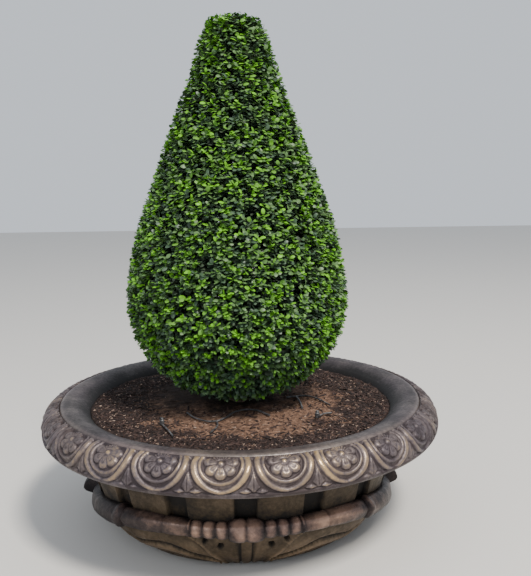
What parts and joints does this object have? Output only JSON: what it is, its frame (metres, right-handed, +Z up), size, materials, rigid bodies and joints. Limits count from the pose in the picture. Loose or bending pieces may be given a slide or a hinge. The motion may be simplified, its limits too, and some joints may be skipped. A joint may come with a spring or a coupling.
{
  "type": "potted boxwood teardrop topiary",
  "caption": "Boxwood shrub clipped to a teardrop, growing in a wide low bronze-finished stone bowl with a carved rim and a garland round it, for a patio.",
  "frame": {"origin": "middle of the bowl's flat underside, at ground level", "axes": "+Z up, -Y the bowl's front where the garland's double bead sits, +X to the right as seen from the front"},
  "size_m": [1.52, 1.52, 1.8976],
  "materials": {
    "planter": "cast stone with an aged bronze patina, dark in the hollows and worn golden brown on the ridges",
    "soil": "shredded bark mulch over potting soil, matte, dark brown with paler fragments",
    "stem": "rough grey-brown bark",
    "foliage": "small glossy oval leaves, dark blue-green mixed with bright yellow-green shoots",
    "drip_line": "black flexible plastic tube, satin"
  },
  "bodies": {
    "root": {"planter_bowl": "planter", "planter_rim": "planter", "planter_garland": "planter", "soil": "soil", "stem": "stem", "crown": "foliage", "drip_tube_front": "drip_line", "drip_tube_branch": "drip_line", "drip_tube_right": "drip_line", "drip_tube_short": "drip_line", "dripper_tail_left": "drip_line", "dripper_tail_right": "drip_line", "dripper_left": "drip_line", "dripper_right": "drip_line"}
  },
  "joints": []
}
